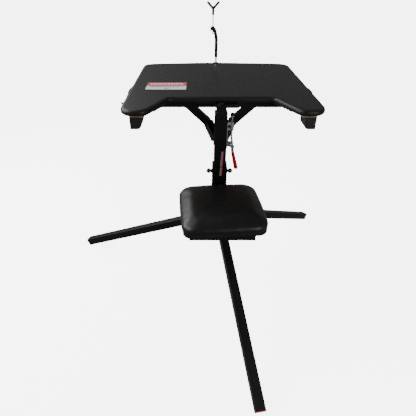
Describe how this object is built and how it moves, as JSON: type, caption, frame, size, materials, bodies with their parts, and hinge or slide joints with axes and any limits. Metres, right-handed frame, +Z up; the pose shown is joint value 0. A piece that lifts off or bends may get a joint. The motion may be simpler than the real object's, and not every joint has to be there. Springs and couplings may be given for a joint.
{
  "type": "portable shooting bench",
  "caption": "Portable swivel shooting bench: padded top with a body notch, padded seat on an arm, folding sloped legs, toggle clamp and a swivelling fork rest.",
  "frame": {"origin": "on the floor, on the axis of the post and spindle", "axes": "+Z up; +Y from the seated user towards the far edge of the table, where the fork rest stands; +X to the user's right"},
  "size_m": [1.335, 1.4229, 1.2034],
  "materials": {
    "black_steel": "black powder coat, semi-gloss, fine orange peel",
    "vinyl": "black upholstery vinyl, fine grain, satin",
    "plywood": "birch plywood, sealed",
    "red_plastic": "moulded red end plug, satin",
    "zinc": "zinc-plated steel, bright",
    "steel": "turned steel, bright",
    "bronze": "oiled bronze",
    "grip_red": "dipped red vinyl grip, glossy",
    "rubber": "black moulded rubber, matte",
    "knob_black": "black phenolic ball knob, glossy",
    "pad_plastic": "natural low-friction plastic, matte",
    "webbing": "black polypropylene webbing",
    "dip_black": "black vinyl dip, satin"
  },
  "bodies": {
    "base": {"hub": "black_steel", "hub_cap": "black_steel", "spindle": "steel", "spindle_nut": "zinc", "thrust_washer": "bronze", "leg_pivot_bolts": "zinc"},
    "front_leg": {"leg_front": "black_steel", "leg_plug_front": "red_plastic"},
    "right_leg": {"leg_right": "black_steel", "leg_plug_right": "red_plastic"},
    "left_leg": {"leg_left": "black_steel", "leg_plug_left": "red_plastic"},
    "column": {"column_flange": "black_steel", "column_sleeve": "black_steel", "seat_arm": "black_steel", "seat_cross_tubes": "black_steel", "cross_tube_caps": "red_plastic"},
    "right_knob": {"knob_right": "knob_black", "knob_screw_right": "steel"},
    "left_knob": {"knob_left": "knob_black", "knob_screw_left": "steel"},
    "post": {"post_tube": "black_steel", "neck_tube": "black_steel", "bridge_bar": "black_steel", "crossbar": "black_steel", "crossbar_caps": "rubber", "brace_left": "black_steel", "brace_right": "black_steel", "brace_straps": "black_steel", "wear_pads": "pad_plastic", "clamp_frame": "zinc", "clamp_screws": "zinc"},
    "table": {"table_core": "plywood", "table_cover": "vinyl", "swivel_plate": "black_steel", "swivel_bolt": "zinc", "tip_spacers": "plywood", "tip_bumpers": "rubber", "side_handles": "webbing", "handle_screws": "zinc", "edge_stud": "knob_black", "rest_socket": "black_steel"},
    "seat": {"seat_cushion": "vinyl", "seat_board": "plywood", "seat_plate": "black_steel", "seat_pivot_bolt": "zinc"},
    "rest_pin": {"rest_rod": "steel"},
    "rest_head": {"rest_arm": "black_steel", "rest_block": "black_steel", "rest_set_screw": "zinc"},
    "rest_wing": {"wing_screw": "black_steel"},
    "rest_lift": {"rest_stem": "steel"},
    "rest_fork": {"fork": "dip_black"},
    "plunger": {"clamp_plunger": "zinc", "plunger_nut": "zinc", "plunger_cap": "rubber", "clamp_links": "zinc"},
    "lever": {"clamp_handle": "zinc", "clamp_grip": "grip_red"}
  },
  "joints": [
    {"name": "front_leg_fold", "type": "hinge", "parent": "base", "child": "front_leg", "pos_m": [0.01354, -0.07681, 0.33731], "axis": [0.9848, 0.1736, 0], "range_deg": [0, 62]},
    {"name": "right_leg_fold", "type": "hinge", "parent": "base", "child": "right_leg", "pos_m": [0.05931, 0.05066, 0.33731], "axis": [-0.6494, 0.7604, 0], "range_deg": [0, 62]},
    {"name": "left_leg_fold", "type": "hinge", "parent": "base", "child": "left_leg", "pos_m": [-0.07418, 0.0241, 0.33731], "axis": [-0.309, -0.9511, 0], "range_deg": [0, 62]},
    {"name": "column_swivel", "type": "hinge", "parent": "base", "child": "column", "pos_m": [0, 0, 0.40111], "axis": [0, 0, 1], "continuous": true},
    {"name": "right_knob_turn", "type": "hinge", "parent": "column", "child": "right_knob", "pos_m": [0.045, 0, 0.59691], "axis": [1, 0, 0], "range_deg": [0, 360]},
    {"name": "left_knob_turn", "type": "hinge", "parent": "column", "child": "left_knob", "pos_m": [-0.045, 0, 0.59691], "axis": [-1, 0, 0], "range_deg": [0, 360]},
    {"name": "post_height", "type": "slide", "parent": "column", "child": "post", "axis": [0, 0, 1], "range_m": [-0.03, 0.06]},
    {"name": "table_swivel", "type": "hinge", "parent": "post", "child": "table", "pos_m": [0, 0, 0.88111], "axis": [0, 0, 1], "range_deg": [-15, 15]},
    {"name": "seat_swivel", "type": "hinge", "parent": "column", "child": "seat", "pos_m": [0, -0.2135, 0.50911], "axis": [0, 0, 1], "range_deg": [-19, 10]},
    {"name": "rest_swivel", "type": "hinge", "parent": "table", "child": "rest_pin", "pos_m": [0, 0.642, 0.91111], "axis": [0, 0, 1], "continuous": true},
    {"name": "rest_height", "type": "slide", "parent": "rest_pin", "child": "rest_head", "axis": [0, 0, 1], "range_m": [-0.02, 0.05]},
    {"name": "rest_wing_turn", "type": "hinge", "parent": "rest_head", "child": "rest_wing", "pos_m": [-0.03, 0.642, 1.07661], "axis": [-1, 0, 0], "range_deg": [0, 360]},
    {"name": "stem_height", "type": "slide", "parent": "rest_head", "child": "rest_lift", "axis": [0, 0, 1], "range_m": [-0.015, 0.015]},
    {"name": "fork_turn", "type": "hinge", "parent": "rest_lift", "child": "rest_fork", "pos_m": [-0.019, 0.642, 1.14611], "axis": [0, 0, 1], "continuous": true},
    {"name": "lever_swing", "type": "hinge", "parent": "post", "child": "lever", "pos_m": [0.041, 0, 0.72311], "axis": [0, -1, 0], "range_deg": [0, 100]},
    {"name": "plunger_slide", "type": "slide", "parent": "post", "child": "plunger", "axis": [0, 0, 1], "range_m": [0, 0.0268]}
  ],
  "couplings": [
    {"joint": "plunger_slide", "follows": "lever_swing", "m_per_rad": 0.015298}
  ]
}
